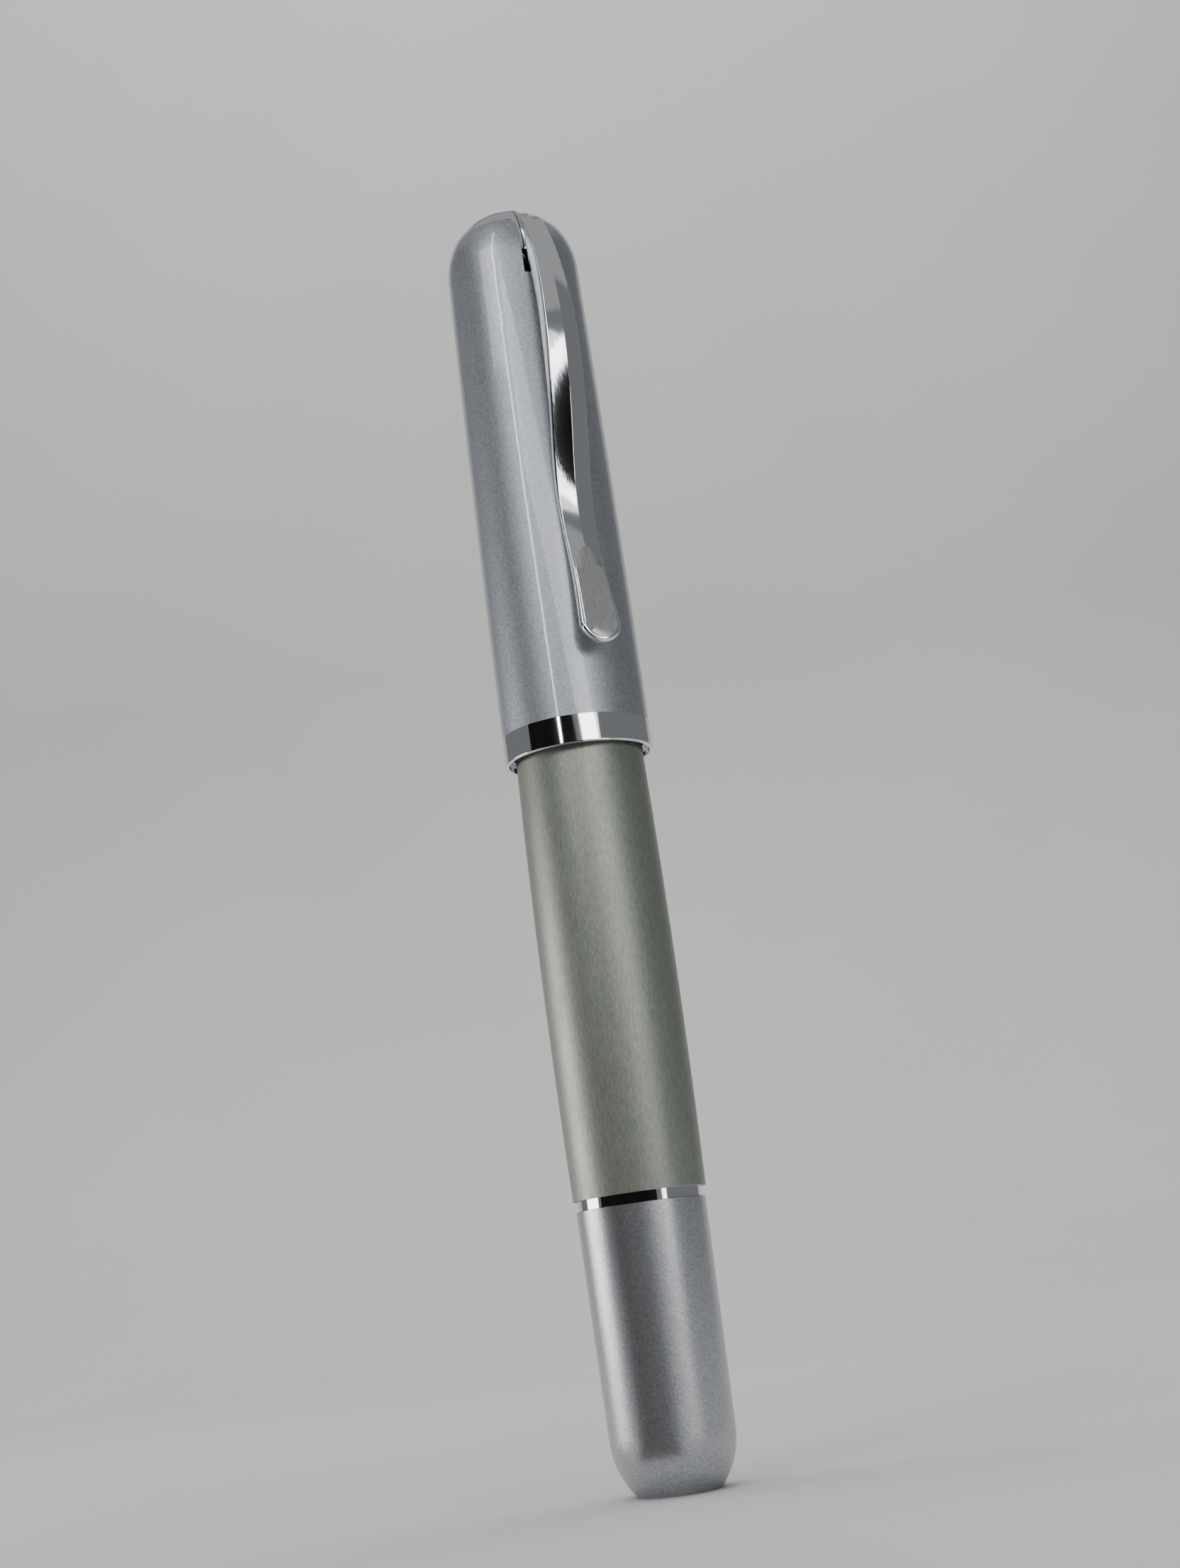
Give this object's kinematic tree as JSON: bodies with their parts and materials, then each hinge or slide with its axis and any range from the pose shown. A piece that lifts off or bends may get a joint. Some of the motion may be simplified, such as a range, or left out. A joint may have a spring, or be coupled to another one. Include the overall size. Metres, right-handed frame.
{
  "type": "fountain pen",
  "caption": "Capped metal fountain pen with a sprung S-shaped clip, a slip cap, a threaded grip section and a tail that draws out the cartridge carriage.",
  "frame": {"origin": "centre of the flat tail end, which the pen stands on", "axes": "+Z along the pen from the tail to the crown; the clip is on the -Y side"},
  "size_m": [0.0152, 0.0189, 0.1335],
  "materials": {
    "tail_silver": "satin silver with fine turning marks",
    "barrel_green_grey": "green-grey anodised, fine lengthwise grain",
    "cap_silver": "satin metallic lacquer",
    "chrome": "polished",
    "brass": "machined",
    "steel": "plain",
    "nib_steel": "polished steel",
    "black_plastic": "moulded, satin",
    "grey_plastic": "moulded, satin",
    "ink_plastic": "translucent moulded cartridge"
  },
  "bodies": {
    "tail": {"tail_shell": "tail_silver", "tail_core": "brass", "swivel_clip": "steel"},
    "carriage": {"carriage": "steel", "ink_cartridge": "ink_plastic", "cartridge_ball": "grey_plastic"},
    "barrel": {"joint_ring": "chrome", "barrel_sleeve": "barrel_green_grey", "lock_bush": "brass", "barrel_liner": "grey_plastic", "front_bush": "brass"},
    "thread_ring": {"section_ring": "chrome"},
    "section": {"section_core": "brass", "grip": "black_plastic", "catch_ring": "steel", "nib_collar": "black_plastic", "nib": "nib_steel", "feed": "black_plastic", "piercing_tube": "black_plastic"},
    "cap": {"cap_tube": "cap_silver", "cap_band": "chrome", "inner_cap": "black_plastic", "head_plug": "brass", "crown_screw": "steel", "crown": "chrome", "clip_pin": "steel", "clip_spring": "steel"},
    "clip": {"clip": "chrome"}
  },
  "joints": [
    {"name": "tail_turn", "type": "hinge", "parent": "tail", "child": "carriage", "pos_m": [0, 0, 0], "axis": [0, 0, 1], "range_deg": [0, 60]},
    {"name": "drawer_slide", "type": "slide", "parent": "carriage", "child": "barrel", "axis": [0, 0, 1], "range_m": [0, 0.06]},
    {"name": "section_lift", "type": "slide", "parent": "barrel", "child": "thread_ring", "axis": [0, 0, 1], "range_m": [0, 0.006]},
    {"name": "section_turn", "type": "hinge", "parent": "thread_ring", "child": "section", "pos_m": [0, 0, 0], "axis": [0, 0, 1], "range_deg": [0, 1441]},
    {"name": "cap_pull", "type": "slide", "parent": "thread_ring", "child": "cap", "axis": [0, 0, 1], "range_m": [0, 0.06]},
    {"name": "clip_lift", "type": "hinge", "parent": "cap", "child": "clip", "pos_m": [0, -0.0036, 0.1277], "axis": [-1, 0, 0], "range_deg": [0, 3], "stiffness_Nm_per_rad": 1.5, "deforming": ["clip_spring"]}
  ],
  "couplings": [
    {"joint": "section_turn", "follows": "section_lift", "rad_per_m": 4188.8}
  ]
}
